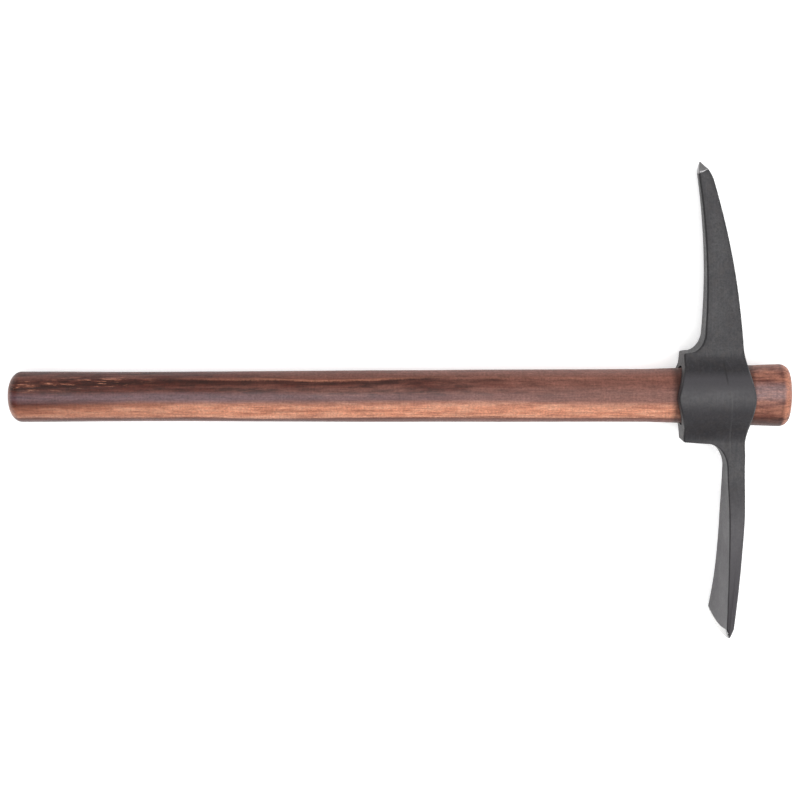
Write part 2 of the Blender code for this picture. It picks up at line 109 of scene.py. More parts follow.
class HeadSizes(bpy.types.PropertyGroup):
    """The forged head: x is measured from the middle of the eye."""
    past_eye: length("Crown past the eye", "From the middle of the eye to the crown end", 0.0415)
    eye_inner_x: length("Eye grip side", "Place of the eye's face towards the grip", -0.0204)
    eye_outer_x_pick: length("Eye crown side, pick", "Crown side at the pick's root", 0.0136)
    eye_outer_x_adze: length("Eye crown side, adze", "Crown side at the adze's root", 0.0160)
    eye_neck: length("Eye neck half width", "Half width between the cheeks", 0.0098)
    eye_corner: length("Eye corner", "Radius of the eye's long edges", 0.0012)
    boss_half_width: length("Boss half width", "Half width over the cheeks", 0.0197)
    boss_half_height: length("Boss half height", "Half height of the round boss", 0.0212)
    boss_fillet: length("Boss fillet", "Rounding between boss and neck", 0.0016)
    inner_lug: length("Grip lug", "How far the cheek points towards the grip", 0.0042)
    inner_lug_half: length("Grip lug half height", "Half height of that lug", 0.0178)
    outer_lug: length("Crown lug", "How far the cheek points towards the crown", 0.0050)
    outer_lug_half: length("Crown lug half height", "Half height of that lug", 0.0276)
    lug_rounding: length("Lug rounding", "Rounding of the lugs' points", 0.0026)
    seat_gap: length("Seat gap", "Clearance of the wood on the crown side", 0.0003)
    mouth_gap: length("Mouth gap", "Gap round the wood on the grip side", 0.0011)
    upper_shoulder_y: length("Upper shoulder", "Height of the shoulder under the pick", 0.0256)
    upper_shoulder_x: length("Upper shoulder end", "Where that shoulder's curve ends", -0.0172)
    upper_fillet: length("Upper fillet", "Height of the curve into the pick", 0.0115)
    lower_shoulder_y: length("Lower shoulder", "Height of the shoulder over the adze", -0.02645)
    lower_shoulder_x: length("Lower shoulder end", "Where that shoulder's curve starts", -0.0060)
    lower_fillet: length("Lower fillet", "Height of the curve into the adze", 0.0150)
    upper_fall: length("Upper shoulder fall", "How far the upper shoulder slopes", 0.00025)
    lower_setback: length("Lower setback", "How far the grip face draws in below", 0.0008)
    face_transition: length("Face transition", "Reach of the crown side's soft change", 0.0040)
    width_transition: length("Width transition", "Reach of the width's soft change", 0.0058)
    lower_fall: length("Lower shoulder fall", "How far the lower shoulder slopes", 0.0010)
    shoulder_rounding: length("Shoulder rounding", "Radius of the shoulders' corners", 0.0012)
    pick_reach: length("Pick reach", "From the handle's axis to the point", 0.1335)
    pick_root_y: length("Pick root", "Where the pick leaves the eye", 0.0282)
    pick_offset: length("Pick offset", "Place of the pick's middle at its root", 0.0026)
    pick_sweep: length("Pick sweep", "How far the point bends to the grip", 0.0137)
    pick_root_depth: length("Pick root depth", "Depth of the pick at its root", 0.0228)
    pick_end_depth: length("Pick end depth", "Depth of the pick under its point", 0.0070)
    pick_root_half_width: length("Pick root half width", "Half width at its root", 0.0090)
    pick_end_half_width: length("Pick end half width", "Half width under its point", 0.0034)
    pick_corner: length("Pick corner", "Radius of the pick's long edges", 0.0014)
    nose_length: length("Nose length", "Where the pick's outer face draws in", 0.0075)
    nose_drop: length("Nose drop", "How far it draws in at the point", 0.0014)
    point_length: length("Point length", "Length of the four-sided point", 0.0049)
    point_skew: length("Point skew", "How far the point's foot slants", 0.0027)
    tip_depth: length("Tip depth", "Depth of the blunted tip", 0.0008)
    tip_half_width: length("Tip half width", "Half width of the blunted tip", 0.0005)
    tip_shift: length("Tip shift", "Place of the tip towards the grip", 0.0010)
    adze_reach: length("Adze reach", "From the handle's axis to the cutting edge", 0.1392)
    adze_root_y: length("Adze root", "Where the adze leaves the eye", -0.0300)
    adze_bend_y: length("Adze bend", "Where the blade starts to bend", -0.0550)
    adze_offset: length("Adze offset", "Place of the blade's middle at its root", 0.0113)
    adze_sweep: length("Adze sweep", "How far the edge bends to the grip", 0.0060)
    adze_root_thickness: length("Adze root thickness", "Thickness at its root", 0.0106)
    adze_end_thickness: length("Adze end thickness", "Thickness above the bevel", 0.0043)
    taper_curve: share("Taper curve", "How late the blade thins", 1.5)
    adze_neck: length("Adze neck half width", "Half width of its neck", 0.0077)
    flare_start_y: length("Flare start", "Where the blade starts to flare", -0.0370)
    flare_end_y: length("Flare end", "Where the quick flare ends", -0.0740)
    quick_flare: length("Quick flare", "What the quick flare adds to the half width", 0.0060)
    edge_half_width: length("Edge half width", "Half width of the cutting edge", 0.0292)
    flare_curve: share("Flare curve", "How late the blade widens", 2.2)
    adze_corner: length("Adze corner", "Radius of the blade's long edges", 0.0010)
    side_ridge: length("Side ridge", "Height of the ridge on the blade's sides", 0.0007)
    ridge_entry: length("Ridge entry", "Length over which the ridge comes in", 0.026)
    bevel_length: length("Bevel length", "Length of the ground bevel", 0.0049)
    edge_thickness: length("Edge thickness", "Thickness of the cutting edge", 0.0006)
    edge_arc: length("Edge arc", "How far the cutting edge is curved", 0.0030)
    edge_rounding: length("Edge corner rounding", "Radius of the edge's corners", 0.0015)
    side_crown: length("Side crown", "How far the pick's sides fall to the grip", 0.0011)
    forging_dents: length("Forging dents", "Depth of the soft hammer dents", 0.00012)


class Finishes(bpy.types.PropertyGroup):
    """Colours of paint, steel and wood, and of the highlights, sheen and shade painted on them."""
    paint_dark: colour("Paint, dark", "The paint in its hollows", (0.0098, 0.0088, 0.0106))
    paint_light: colour("Paint, light", "The paint where it is thin", (0.0290, 0.0262, 0.0300))
    paint_warm: colour("Paint, warm", "Its brownish patches", (0.040, 0.032, 0.029))
    paint_cool: colour("Paint, cool", "Its bluish patches", (0.012, 0.0145, 0.018))
    paint_drawn: colour("Paint, drawn", "Its long pale streaks", (0.046, 0.042, 0.048))
    # Painted light: lighter paint over the adze, standing in for the floor's light reflected on the
    # blade
    paint_blade_light: colour("Paint, blade", "The paint on the adze", (0.062, 0.056, 0.063))
    # Painted highlight on top of the boss
    paint_boss_highlight: colour("Paint, boss", "The paint on top of the boss", (0.056, 0.052, 0.058))
    # Painted shade in the forging crease at the boss
    paint_crease_shade: colour("Paint, crease", "In the crease at the boss", (0.006, 0.006, 0.006))
    paint_shade: colour("Paint, shade", "Along the grip side's edges", (0.004, 0.004, 0.005))
    # Rubbed paint; along the crown side's edges also painted highlight
    paint_worn_and_highlight: colour("Paint, worn", "Rubbed paint along the edges", (0.15, 0.15, 0.15))
    steel: colour("Ground steel", "The bare metal along the adze's edge", (0.66, 0.65, 0.64))
    steel_scratch: colour("Scratched steel", "The scratches in it", (0.50, 0.49, 0.48))
    # Dull bare steel of the pick's point; on the adze bevel's upper corner it is painted shade
    steel_dull_and_shade: colour("Dull steel", "The bare metal of the pick's point", (0.32, 0.312, 0.318))
    wood_char: colour("Charred wood", "The darkest streaks", (0.028, 0.007, 0.004))
    wood_dark: colour("Dark wood", "The stained wood near the grip", (0.094, 0.021, 0.013))
    wood_brown: colour("Brown wood", "The stained wood near the head", (0.212, 0.083, 0.061))
    wood_orange: colour("Orange wood", "Where little stain was taken", (0.610, 0.250, 0.152))
    wood_fleck: colour("Light fleck", "The lightest lines of the grain", (0.740, 0.400, 0.270))
    # Painted sheen over the pale lane
    wood_sheen: colour("Sheen", "The greyish band over the pale lane", (0.190, 0.115, 0.140))
    # Painted sheen in the middle of the crown
    wood_crown_sheen: colour("Highlight", "The greyish middle of the crown", (0.290, 0.200, 0.205))


class StudioSizes(bpy.types.PropertyGroup):
    """Floor, light, surround and camera."""
    floor_size: length("Floor size", "Side of the floor", 12.0)
    floor_colour: colour("Floor colour", "The pale floor", (0.82, 0.82, 0.82))
    floor_glow: share("Floor glow", "How far the floor is lit from below", 0.64)
    floor_x: length("Floor x", "Where the floor's height is set, along the handle", 0.410)
    floor_z: length("Floor height", "Height of the floor there", -0.0200)
    floor_rise: turn("Floor rise", "Slope of the floor up to the pick's side", math.atan(0.081))
    floor_fall: turn("Floor fall", "Slope of the floor down to the crown", math.atan(0.0205))
    floor_step: length("Floor step", "How much lower it is past the grip end", 0.0115)
    step_start: length("Step start", "Where the floor starts to drop, along the handle", 0.030)
    step_end: length("Step end", "Where it is down, along the handle", -0.012)
    light_length: length("Light length", "Of the overhead light, along the handle", 1.72)
    light_width: length("Light width", "Of the overhead light, across the handle", 1.10)
    light_x: length("Light x", "Place of the light along the handle", 0.66)
    light_y: length("Light y", "Place of the light across the handle", -0.06)
    light_z: length("Light z", "Height of the light", 1.30)
    light_power: share("Light power", "Of the overhead light, in watts", 17.5)
    sky_strength: share("Surround strength", "Brightness of the pale surround", 1.0)
    dim_band: share("Dim band", "Brightness of its band between low down and overhead", 0.27)
    lens: share("Lens", "Focal length in millimetres", 70.0)
    tilt: turn("Camera tilt", "From straight above towards the pick", math.radians(7.2))
    roll: turn("Camera roll", "Turn of the picture", math.radians(0.126))
    camera_x: length("Camera x", "Place of the camera along the handle", 0.22594)
    camera_y: length("Camera y", "Place of the camera across the handle", 0.11043)
    camera_z: length("Camera z", "Height of the camera over the handle", 0.89267)


# Shapes

QUARTER_TURN = 0.5 * math.pi


def between(start, end, part):
    """A value on the straight way from start to end."""
    return start + (end - start) * part


def blend(start, end, part):
    """A value between start and end that leaves and arrives level."""
    part = min(max(part, 0.0), 1.0)
    return between(start, end, part * part * (3.0 - 2.0 * part))


def rounded_larger(first, second, fillet):
    """The larger of two lengths, with the place where they cross rounded."""
    return 0.5 * (first + second + math.hypot(first - second, 2.0 * fillet))


def steps(count):
    """Even shares from 0 to 1, both included."""
    return [step / count for step in range(count + 1)]


def wave_point(place, fineness, shift=0.0):
    """Where a place lies in a noise that is finer by a factor along each axis."""
    x, y, z = (value * factor for value, factor in zip(place, fineness))
    return Vector((x + shift, y, z))


def bridge(mesh, first, second):
    """Joins two rings of points with a band of faces."""
    count = len(first)
    for index in range(count):
        after = (index + 1) % count
        mesh.faces.new((first[index], first[after], second[after], second[index]))


def mesh_data(mesh, name):
    """Turns a worked mesh into a piece's data."""
    data = bpy.data.meshes.new(name)
    mesh.to_mesh(data)
    mesh.free()
    return data


# Handle

GRIP_FLAT_RINGS = 5
GRIP_END_RINGS = 22
CROWN_END_RINGS = 20
CROWN_FLAT_RINGS = 12
SANDED_WAVES = (18.0, 45.0, 45.0)
GRAIN_WAVES = (22.0, 650.0, 650.0)
GRAIN_OCTAVES = 4
RELIEF_FADE = 4


def handle_half_height(size, x):
    """Half the handle's height along Y, apart from its rounded ends."""
    neck_x = size.total - size.taper_length
    if x <= size.waist_x:
        return blend(size.grip_half_height, size.waist_half_height, x / size.waist_x)
    if x <= size.shaft_x:
        part = (x - size.waist_x) / (size.shaft_x - size.waist_x)
        return blend(size.waist_half_height, size.shaft_half_height, part)
    if x <= neck_x:
        part = (x - size.shaft_x) / (neck_x - size.shaft_x)
        return between(size.shaft_half_height, size.neck_half_height, part)
    part = (x - neck_x) / (size.total - size.crown_rounding - neck_x)
    return between(size.neck_half_height, size.crown_half_height, part)


def handle_profile(size):
    """Points of the handle's outline (distance from the grip end, half height)."""
    grip_height = handle_half_height(size, size.grip_rounding)
    points = [(0.0, size.grip_flat * part) for part in steps(GRIP_FLAT_RINGS)]
    for part in steps(GRIP_END_RINGS)[1:]:
        angle = QUARTER_TURN * part
        x = size.grip_rounding * (1.0 - math.cos(angle))
        points.append((x, between(size.grip_flat, grip_height, math.sin(angle))))
    crown_start = size.total - size.crown_rounding
    for part in steps(size.stations)[1:]:
        x = between(size.grip_rounding, crown_start, part)
        points.append((x, handle_half_height(size, x)))
    for part in steps(CROWN_END_RINGS)[1:]:
        angle = QUARTER_TURN * (1.0 - part)
        x = crown_start + size.crown_rounding * math.cos(angle)
        points.append((x, between(size.crown_flat, size.crown_half_height, math.sin(angle))))
    for part in steps(CROWN_FLAT_RINGS)[1:]:
        points.append((size.total, size.crown_flat * (1.0 - part)))
    return points


def wood_relief(size, place):
    """How far the wood stands off its true oval: soft unevenness and raised grain."""
    soft = noise.noise(wave_point(place, SANDED_WAVES))
    grain = noise.fractal(wave_point(place, GRAIN_WAVES), 1.0, 2.0, GRAIN_OCTAVES)
    return size.unevenness * soft + size.grain_relief * grain


def handle_mesh(size):
    """The handle as rings of points, with the grain worked into its sides."""
    flatness = size.shaft_half_width / size.shaft_half_height
    profile = handle_profile(size)
    mesh = bmesh.new()
    rings = []
    for x, half_height in profile[1:-1]:
        fade = min(1.0, half_height / size.grip_half_height) ** RELIEF_FADE
        ring = []
        for side in range(size.sides):
            angle = 2.0 * math.pi * side / size.sides
            across = Vector((0.0, math.cos(angle), flatness * math.sin(angle)))
            point = Vector((x, 0.0, 0.0)) + across * half_height
            relief = wood_relief(size, point) * fade - size.unevenness * fade
            ring.append(mesh.verts.new(point + across.normalized() * relief))
        rings.append(ring)
    ends = [mesh.verts.new((profile[end][0], 0.0, 0.0)) for end in (0, -1)]
    for lower, upper in zip(rings, rings[1:]):
        bridge(mesh, lower, upper)
    for side in range(size.sides):
        after = (side + 1) % size.sides
        mesh.faces.new((ends[0], rings[0][after], rings[0][side]))
        mesh.faces.new((ends[1], rings[-1][side], rings[-1][after]))
    bmesh.ops.recalc_face_normals(mesh, faces=mesh.faces)
    data = mesh_data(mesh, "wood_handle")
    data.shade_smooth()
    return data


# Head

FINEST = 0.00001
GENTLE_CREASE = math.radians(32.0)
SOFTENING_STEPS = 16

# Rings along the head: even counts, or shares of a short stretch
POINT_SHARES = (0.0, 0.03, 0.1, 0.2, 0.35, 0.5, 0.65, 0.8, 0.9, 0.96)
PAINT_SHARES = (0.0, 0.002, 0.005, 0.009, 0.012, 0.017)
PICK_RINGS = 96
FILLET_RINGS = 26
ROUNDING_RINGS = 7
EYE_RINGS = 110
ADZE_RINGS = 100
BEVEL_SHARES = (0.015, 0.05, 0.12, 0.25, 0.4, 0.55, 0.7, 0.82, 0.92, 0.98, 1.0)

# Points round a ring, and its form
SIDE_POINTS = 12
CORNER_POINTS = 6
FACE_POINTS = 44
LARGEST_CORNER = 0.8
POINT_CORNER_SHARE = 0.35
CROWN_PLACE = 0.3

# Where the paint ends: shares of the pick, of the bevel and of a ring's depth
BARE_SHARE = 0.011
GROUND_SHARE = 0.03
BEVEL_SIDE_SHARE = 0.35

# Forging dents: how fine, how far they fade out at both ends, and how they add up
BROAD_DENTS = (55.0, 40.0, 55.0)
SMALL_DENTS = (190.0, 120.0, 190.0)
SMALL_DENT_SHIFT = 5.0
DENT_FADE = 0.02
BROAD_SHARE = 0.75
SMALL_SHARE = 0.25
DENT_LEVEL = 0.6

# The tool that cuts the hole
HOLE_SIDES = 160
PAST_MOUTH = 0.015
PAST_SEAT = 0.012


# The outline at each height y: inner face (grip side), outer face and half width

def pick_centre(size, y):
    part = max(y - size.pick_root_y, 0.0) / (size.pick_reach - size.pick_root_y)
    return size.pick_offset - size.pick_sweep * part * part


def pick_share(size, y):
    return (y - size.pick_root_y) / (size.pick_reach - size.point_length - size.pick_root_y)


def pick_faces(size, y):
    """The pick's faces, the outer one drawn in towards the point."""
    half = 0.5 * between(size.pick_root_depth, size.pick_end_depth, pick_share(size, y))
    nose = max(0.0, 1.0 - (size.pick_reach - size.point_length - y) / size.nose_length)
    centre = pick_centre(size, y)
    return centre - half, centre + half - size.nose_drop * nose * nose


def pick_half_width(size, y):
    return between(size.pick_root_half_width, size.pick_end_half_width, pick_share(size, y))


def lug(size, y, reach, half_height):
    """How far a pointed lug, with its point rounded, stands out at a height."""
    fall = math.hypot(y, size.lug_rounding) - size.lug_rounding
    full_fall = math.hypot(half_height, size.lug_rounding) - size.lug_rounding
    return reach * max(0.0, 1.0 - fall / full_fall)


def eye_faces(size, y):
    part = (size.pick_root_y - y) / (size.pick_root_y - size.adze_root_y)
    outer = between(size.eye_outer_x_pick, size.eye_outer_x_adze, part)
    outer += lug(size, y, size.outer_lug, size.outer_lug_half)
    inner = size.eye_inner_x - lug(size, y, size.inner_lug, size.inner_lug_half)
    return inner + size.lower_setback * max(0.0, y / size.lower_shoulder_y), outer


def eye_half_width(size, y):
    """The neck, and over the hole the round boss that the two cheeks form."""
    part = min(abs(y) / size.boss_half_height, 1.0)
    boss = size.boss_half_width * math.sqrt(1.0 - part * part)
    if y > 0.0:
        root = pick_half_width(size, size.pick_root_y)
        neck = blend(size.eye_neck, root, y / size.pick_root_y)
    else:
        neck = blend(size.eye_neck, size.adze_neck, y / size.adze_root_y)
    return rounded_larger(neck, boss, size.boss_fillet)


def adze_centre(size, y):
    part = max(size.adze_bend_y - y, 0.0) / (size.adze_reach + size.adze_bend_y)
    return size.adze_offset - size.adze_sweep * part * part


def adze_faces(size, y):
    part = max(size.adze_root_y - y, 0.0) / (size.adze_reach - size.bevel_length + size.adze_root_y)
    part = part ** size.taper_curve
    half = 0.5 * between(size.adze_root_thickness, size.adze_end_thickness, part)
    return adze_centre(size, y) - half, adze_centre(size, y) + half


def adze_half_width(size, y):
    """The neck under the eye, a quick flare, and an even flare to the cutting edge."""
    part = max(0.0, size.flare_start_y - y) / (size.adze_reach + size.flare_start_y)
    end = size.edge_half_width - size.quick_flare
    even = between(size.adze_neck, end, part ** size.flare_curve)
    entry = (size.flare_start_y - y) / (size.flare_start_y - size.flare_end_y)
    return even + blend(0.0, size.quick_flare, entry)


def sharp_outer_face(size, y):
    if y > size.pick_root_y:
        return pick_faces(size, y)[1]
    if y > size.adze_root_y:
        return eye_faces(size, y)[1]
    return adze_faces(size, y)[1]


def sharp_half_width(size, y):
    if y > size.pick_root_y:
        return pick_half_width(size, y)
    if y > size.adze_root_y:
        return eye_half_width(size, y)
    return adze_half_width(size, y)


def softened(size, measure, y, transition):
    """A measure of the outline, averaged up and down near the eye where two forms meet."""
    past = max(y - size.pick_root_y, size.adze_root_y - y)
    reach = transition * blend(1.0, 0.0, past / transition - 1.0)
    shares = [2.0 * part - 1.0 for part in steps(SOFTENING_STEPS)]
    return sum(measure(size, y + reach * part) for part in shares) / len(shares)


# Rings: a height, the two faces, half the width, the corners' radius, how far the ring leans, how
# far it bends with the edge, its side ridge, and how bare it is all round or on the ground bevel
Ring = namedtuple("Ring", "y inner outer width corner lean arc ridge bare bevel",
                  defaults=5 * (0.0,))


def ring_between(first, last, part):
    """A ring on the straight way from one ring to another."""
    return Ring(*(between(start, end, part) for start, end in zip(first, last)))


def body_ring(size, y, inner, corner, **more):
    """A ring whose crown side and width run softly from form to form."""
    outer = softened(size, sharp_outer_face, y, size.face_transition)
    width = softened(size, sharp_half_width, y, size.width_transition)
    return Ring(y, inner, outer, width, corner, **more)


def point_rings(size):
    """The ground four-sided point, from its blunt tip to the paint."""
    middle = pick_centre(size, size.pick_reach) - size.tip_shift
    tip = Ring(size.pick_reach, middle - 0.5 * size.tip_depth, middle + 0.5 * size.tip_depth,
               size.tip_half_width, 0.5 * size.tip_half_width, bare=1.0)
    foot_y = size.pick_reach - size.point_length
    foot_width = pick_half_width(size, foot_y)
    foot_corner = POINT_CORNER_SHARE * min(size.pick_corner, 0.5 * foot_width)
    foot = Ring(foot_y, *pick_faces(size, foot_y), foot_width, foot_corner,
                lean=size.point_skew / size.pick_end_depth, bare=1.0)
    return [ring_between(tip, foot, part) for part in POINT_SHARES]


def pick_rings(size):
    """The pick, down to the curve above the shoulder."""
    top = size.pick_reach - size.point_length
    bottom = size.upper_shoulder_y + size.upper_fillet
    skew = size.point_skew / size.pick_end_depth
    parts = [between(PAINT_SHARES[-1], 1.0, part) for part in steps(PICK_RINGS)[1:-1]]
    rings = []
    for part in (*PAINT_SHARES, *parts):
        y = between(top, bottom, part)
        corner = min(size.pick_corner, 0.5 * pick_half_width(size, y))
        bare = 1.0 - min(1.0, part / BARE_SHARE)
        rings.append(body_ring(size, y, pick_faces(size, y)[0], corner,
                               lean=skew * (1.0 - part), bare=bare))
    return rings


def upper_shoulder_rings(size):
    """The curve from the pick's inner face out along the shoulder, and round its corner."""
    top = size.upper_shoulder_y + size.upper_fillet
    reach = pick_faces(size, top)[0] - size.upper_shoulder_x
    rings = []
    for part in steps(FILLET_RINGS):
        angle = QUARTER_TURN * (1.0 - part)
        y = top - size.upper_fillet * math.cos(angle)
        inner = size.upper_shoulder_x + reach * math.sin(angle)
        corner = between(size.eye_corner, size.pick_corner, math.sin(angle))
        rings.append(body_ring(size, y, inner, corner))
    start = size.upper_shoulder_y - size.upper_fall
    for part in steps(ROUNDING_RINGS):
        angle = QUARTER_TURN * part
        y = start - size.shoulder_rounding * (1.0 - math.cos(angle))
        inner = size.eye_inner_x + size.shoulder_rounding * (1.0 - math.sin(angle))
        rings.append(body_ring(size, y, inner, size.eye_corner))
    return rings


def eye_rings(size):
    """The eye between its two shoulders."""
    top = size.upper_shoulder_y - size.upper_fall - size.shoulder_rounding
    bottom = size.lower_shoulder_y + size.shoulder_rounding
    heights = [between(top, bottom, part) for part in steps(EYE_RINGS)[1:-1]]
    return [body_ring(size, y, eye_faces(size, y)[0], size.eye_corner) for y in heights]


def lower_shoulder_rings(size):
    """Round the lower shoulder's corner, along it, and down the curve into the adze."""
    rings = []
    for part in steps(ROUNDING_RINGS):
        angle = QUARTER_TURN * part
        y = size.lower_shoulder_y + size.shoulder_rounding * (1.0 - math.sin(angle))
        inner = eye_faces(size, y)[0] + size.shoulder_rounding * (1.0 - math.cos(angle))
        rings.append(body_ring(size, y, inner, size.eye_corner))
    bottom = size.lower_shoulder_y - size.lower_fall - size.lower_fillet
    reach = adze_faces(size, bottom)[0] - size.lower_shoulder_x
    for part in steps(FILLET_RINGS):
        angle = QUARTER_TURN * part
        y = bottom + size.lower_fillet * math.cos(angle)
        inner = size.lower_shoulder_x + reach * math.sin(angle)
        rings.append(body_ring(size, y, inner, size.eye_corner))
    return rings


def adze_rings(size):
    """The blade down to its ground bevel, and the cutting edge."""
    top = size.lower_shoulder_y - size.lower_fall - size.lower_fillet
    bottom = size.bevel_length - size.adze_reach
    rings = []
    for part in steps(ADZE_RINGS)[1:]:
        y = between(top, bottom, part)
        spread = max(0.0, (size.flare_end_y - y) / (size.flare_end_y - bottom))
        ridge = size.side_ridge * min(1.0, max(0.0, size.flare_end_y - y) / size.ridge_entry)
        rings.append(body_ring(size, y, adze_faces(size, y)[0], size.adze_corner,
                               arc=spread ** 2, ridge=ridge))
    middle = adze_centre(size, -size.adze_reach)
    half = 0.5 * size.edge_thickness
    edge = Ring(-size.adze_reach, middle - half, middle + half, size.edge_half_width, half, arc=1.0)
    bevel = [ring_between(rings[-1], edge, part)._replace(bevel=min(1.0, part / GROUND_SHARE))
             for part in BEVEL_SHARES]
    return rings + bevel


def edge_rise(size, z, width):
    """How far the cutting edge rises from its lowest point: a flat arc with rounded corners."""
    rise = size.edge_arc * (z / width) ** 2
    into_corner = (abs(z) - (width - size.edge_rounding)) / size.edge_rounding
    if into_corner > 0.0:
        rise += size.edge_rounding * (1.0 - math.sqrt(max(0.0, 1.0 - into_corner ** 2)))
    return rise


def ring_outline(size, ring):
    """Points (x, z, wear) of a rounded rectangle, from the middle of its near side and round."""
    middle = 0.5 * (ring.outer + ring.inner)
    half_depth = 0.5 * (ring.outer - ring.inner)
    corner = min(ring.corner, LARGEST_CORNER * half_depth)
    flat = half_depth - corner
    above_eye = (ring.y - size.boss_half_height) / size.boss_half_height
    crown = size.side_crown * blend(0.0, 1.0, above_eye) * half_depth / (0.5 * size.pick_root_depth)

    def side_height(x):
        fall = crown * (x / max(flat, FINEST) - CROWN_PLACE) ** 2 / (1.0 + CROWN_PLACE) ** 2
        return ring.width + ring.ridge * (1.0 - abs(x) / max(flat, FINEST)) - fall

    def end_path(end):
        """Corner, face and corner on the crown side (1) or the grip side (-1)."""
        height = side_height(end * flat)
        bend = [(flat + corner * math.sin(angle), height - corner * (1.0 - math.cos(angle)),
                 math.sin(2.0 * angle))
                for angle in (QUARTER_TURN * part for part in steps(CORNER_POINTS)[1:])]
        face = [(half_depth, (height - corner) * math.cos(math.pi * part), 0.0)
                for part in steps(FACE_POINTS)[1:-1]]
        path = bend + face + [(x, -z, edge_weight) for x, z, edge_weight in reversed(bend)]
        return [(end * x, end * z, edge_weight) for x, z, edge_weight in path]

    near = [(flat * across, side_height(flat * across), 0.0)
            for across in (2.0 * part - 1.0 for part in steps(2 * SIDE_POINTS))]
    far = [(x, -z, edge_weight) for x, z, edge_weight in reversed(near)]
    return near + end_path(1) + far + end_path(-1), middle


def head_mesh(size):
    """The head without its hole, with marks of how bare each place is and of its corners: rubbed
    paint and painted highlight on the crown side, painted shade on the grip side.
    """
    rings = (point_rings(size) + pick_rings(size) + upper_shoulder_rings(size)
             + eye_rings(size) + lower_shoulder_rings(size) + adze_rings(size))
    mesh = bmesh.new()
    bare_mark, rub_and_highlight_mark, shade_mark = [mesh.verts.layers.float.new(name)
                                        for name in ("bare", "edge_weight", "shade")]
    loops = []
    for ring in rings:
        outline, middle = ring_outline(size, ring)
        inner_side = BEVEL_SIDE_SHARE * (ring.inner - ring.outer)
        loop = []
        for x, z, edge_weight in outline:
            rise = edge_rise(size, z, ring.width + ring.ridge)
            vertex = mesh.verts.new((middle + x, ring.y + ring.lean * x + ring.arc * rise, z))
            vertex[bare_mark] = max(ring.bare, ring.bevel if x < inner_side else 0.0)
            # Grip-side corners carry painted shade; crown-side corners carry rubbed paint and
            # painted highlight
            vertex[shade_mark if x < 0.0 else rub_and_highlight_mark] = edge_weight
            loop.append(vertex)
        loops.append(loop)
    for upper, lower in zip(loops, loops[1:]):
        bridge(mesh, upper, lower)
    for loop in (loops[0], loops[-1]):
        close_end(mesh, loop)
    bmesh.ops.recalc_face_normals(mesh, faces=mesh.faces)
    mesh.normal_update()
    dent(mesh, size)
    data = mesh_data(mesh, "forged_head")
    data.shade_smooth()
    data.set_sharp_from_angle(angle=GENTLE_CREASE)
    return data


def close_end(mesh, loop):
    """Closes a thin end with strips across it and one polygon at each side."""
    side = 2 * SIDE_POINTS
    count = len(loop)
    half = count // 2
    for start in (0, half):
        mesh.faces.new([loop[(start + index) % count]
                        for index in range(-CORNER_POINTS, side + CORNER_POINTS + 1)])
    for index in range(side + CORNER_POINTS, half - CORNER_POINTS):
        mirror = (side - index) % count
        mesh.faces.new((loop[index], loop[index + 1], loop[mirror - 1], loop[mirror]))


def dent(mesh, size):
    """Soft dents of the forging on every painted face, none at the tip and the edge."""
    for vertex in mesh.verts:
        y = vertex.co.y
        from_ends = (size.pick_reach - size.point_length - y,
                     y + size.adze_reach - size.bevel_length)
        fade = math.prod(min(1.0, max(0.0, distance / DENT_FADE)) for distance in from_ends)
        broad = noise.noise(wave_point(vertex.co, BROAD_DENTS))
        small = noise.noise(wave_point(vertex.co, SMALL_DENTS, SMALL_DENT_SHIFT))
        depth = BROAD_SHARE * broad + SMALL_SHARE * small - DENT_LEVEL
        vertex.co += vertex.normal * (size.forging_dents * fade * depth)


def put(name, data, location=(0.0, 0.0, 0.0)):
    """Puts an object into the scene."""
    made = bpy.data.objects.new(name, data)
    made.location = location
    bpy.context.scene.collection.objects.link(made)
    return made


def hole_cutter(head, handle):
    """The eye's oval, tapered hole, wider than the wood by the mouth gap and the seat gap."""
    flatness = handle.shaft_half_width / handle.shaft_half_height
    eye_x = handle.total - head.past_eye
    seat_x = eye_faces(head, 0.0)[1]
    mouth = handle_half_height(handle, eye_x + head.eye_inner_x) + head.mouth_gap
    seat = handle_half_height(handle, eye_x + seat_x) + head.seat_gap / flatness
    slope = (seat - mouth) / (seat_x - head.eye_inner_x)
    mesh = bmesh.new()
    loops = []
    for x in (head.eye_inner_x - PAST_MOUTH, seat_x + PAST_SEAT):
        radius = mouth + slope * (x - head.eye_inner_x)
        angles = [2.0 * math.pi * side / HOLE_SIDES for side in range(HOLE_SIDES)]
        loops.append([mesh.verts.new((x, radius * math.cos(angle),
                                      flatness * radius * math.sin(angle))) for angle in angles])
    bridge(mesh, *loops)
    for loop in loops:
        mesh.faces.new(loop)
    bmesh.ops.recalc_face_normals(mesh, faces=mesh.faces)
    return put("eye_hole", mesh_data(mesh, "eye_hole"))


# Finishes: where a line or a band lies is in metres on the piece

TRIM_PLACE = 0.4138
TRIM_SLANT = 0.074
TRIM_STRENGTH = 0.16
CREASE_PLACE = 0.4126
CREASE_SLANT = 0.10
CREASE_STRENGTH = 0.6
SHADE_STRENGTH = 0.75
GRAIN_SLANT = 0.22
LANE_TOP = 0.0024
LANE_HEIGHT = 0.0124
LANE_BOTTOM_STRENGTH = 0.6
SHEEN_MIDDLE = 0.0006
GROOVE_PLACE = -0.0014
CROWN_SHEEN_MIDDLE = 0.0036
CROWN_WEAR_STRENGTH = 0.55
CROWN_LINE_PLACE = 0.4441
DULLING = 0.14
WOOD_SPECULAR = 0.36


